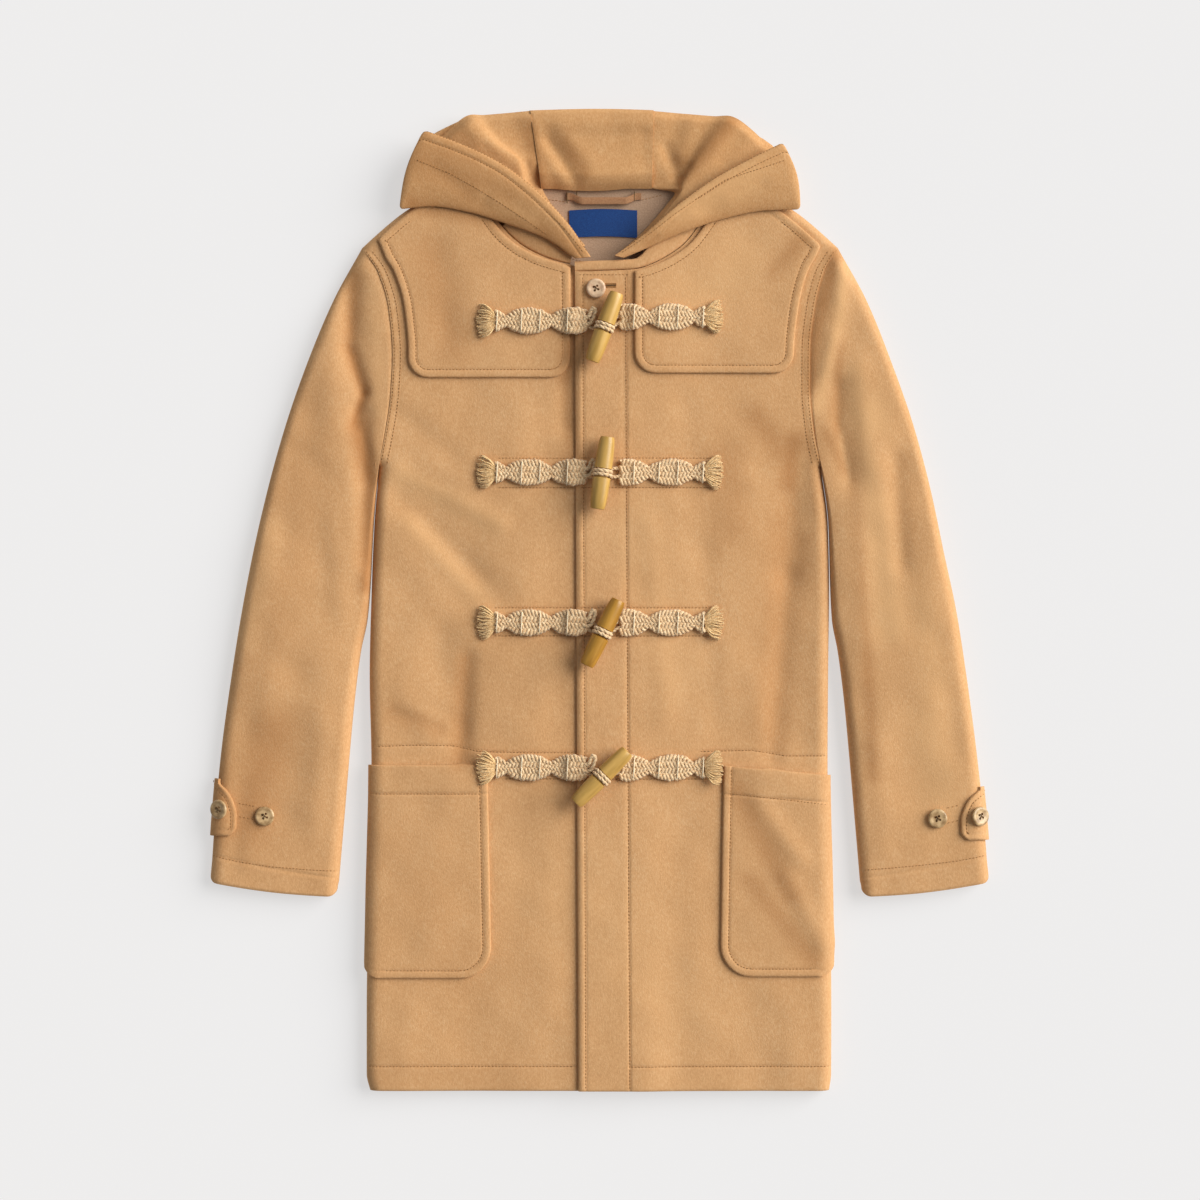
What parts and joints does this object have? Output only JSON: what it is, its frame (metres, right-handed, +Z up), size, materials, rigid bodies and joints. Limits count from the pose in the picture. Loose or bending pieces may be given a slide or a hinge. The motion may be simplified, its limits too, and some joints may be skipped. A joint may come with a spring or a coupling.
{
  "type": "duffle coat",
  "caption": "Hooded wool duffle coat laid flat and face up, with horn toggles on braided jute loops, patch pockets, shoulder patches and cuff tabs.",
  "frame": {"origin": "middle of the coat's footprint, on the surface that it lies on", "axes": "+X to the picture's right, +Y from hem to hood, +Z up from the surface"},
  "size_m": [0.6242, 0.7852, 0.0383],
  "materials": {
    "melton": "camel melton wool, brushed to a short soft nap",
    "lining": "matt taupe cotton twill",
    "ribbon": "close-woven blue label satin, bare",
    "jute": "natural twisted jute braid with frayed ends",
    "toggle": "polished ochre horn with a fine grain along it",
    "button": "polished mottled horn"
  },
  "bodies": {
    "root": {"back": "melton", "front_left": "melton", "sleeve_left": "melton", "yoke_left": "melton", "pocket_left": "melton", "cuff_tab_left": "melton", "neck_band_left": "melton", "hood_side_left": "melton", "hood_brim_left": "melton", "front_right": "melton", "sleeve_right": "melton", "yoke_right": "melton", "pocket_right": "melton", "cuff_tab_right": "melton", "neck_band_right": "melton", "hood_side_right": "melton", "hood_brim_right": "melton", "hood_centre": "melton", "hood_folds": "melton", "neck_lining": "lining", "hanger_loop": "lining", "label": "ribbon", "button_neck": "button", "button_cuff_left": "button", "button_cuff_right": "button", "button_tab_left": "button", "button_tab_right": "button", "toggle_1": "toggle", "cord_loop_1": "jute", "braid_left_1": "jute", "frayed_end_left_1": "jute", "braid_right_1": "jute", "frayed_end_right_1": "jute", "toggle_2": "toggle", "cord_loop_2": "jute", "braid_left_2": "jute", "frayed_end_left_2": "jute", "braid_right_2": "jute", "frayed_end_right_2": "jute", "toggle_3": "toggle", "cord_loop_3": "jute", "braid_left_3": "jute", "frayed_end_left_3": "jute", "braid_right_3": "jute", "frayed_end_right_3": "jute", "toggle_4": "toggle", "cord_loop_4": "jute", "braid_left_4": "jute", "frayed_end_left_4": "jute", "braid_right_4": "jute", "frayed_end_right_4": "jute"}
  },
  "joints": []
}
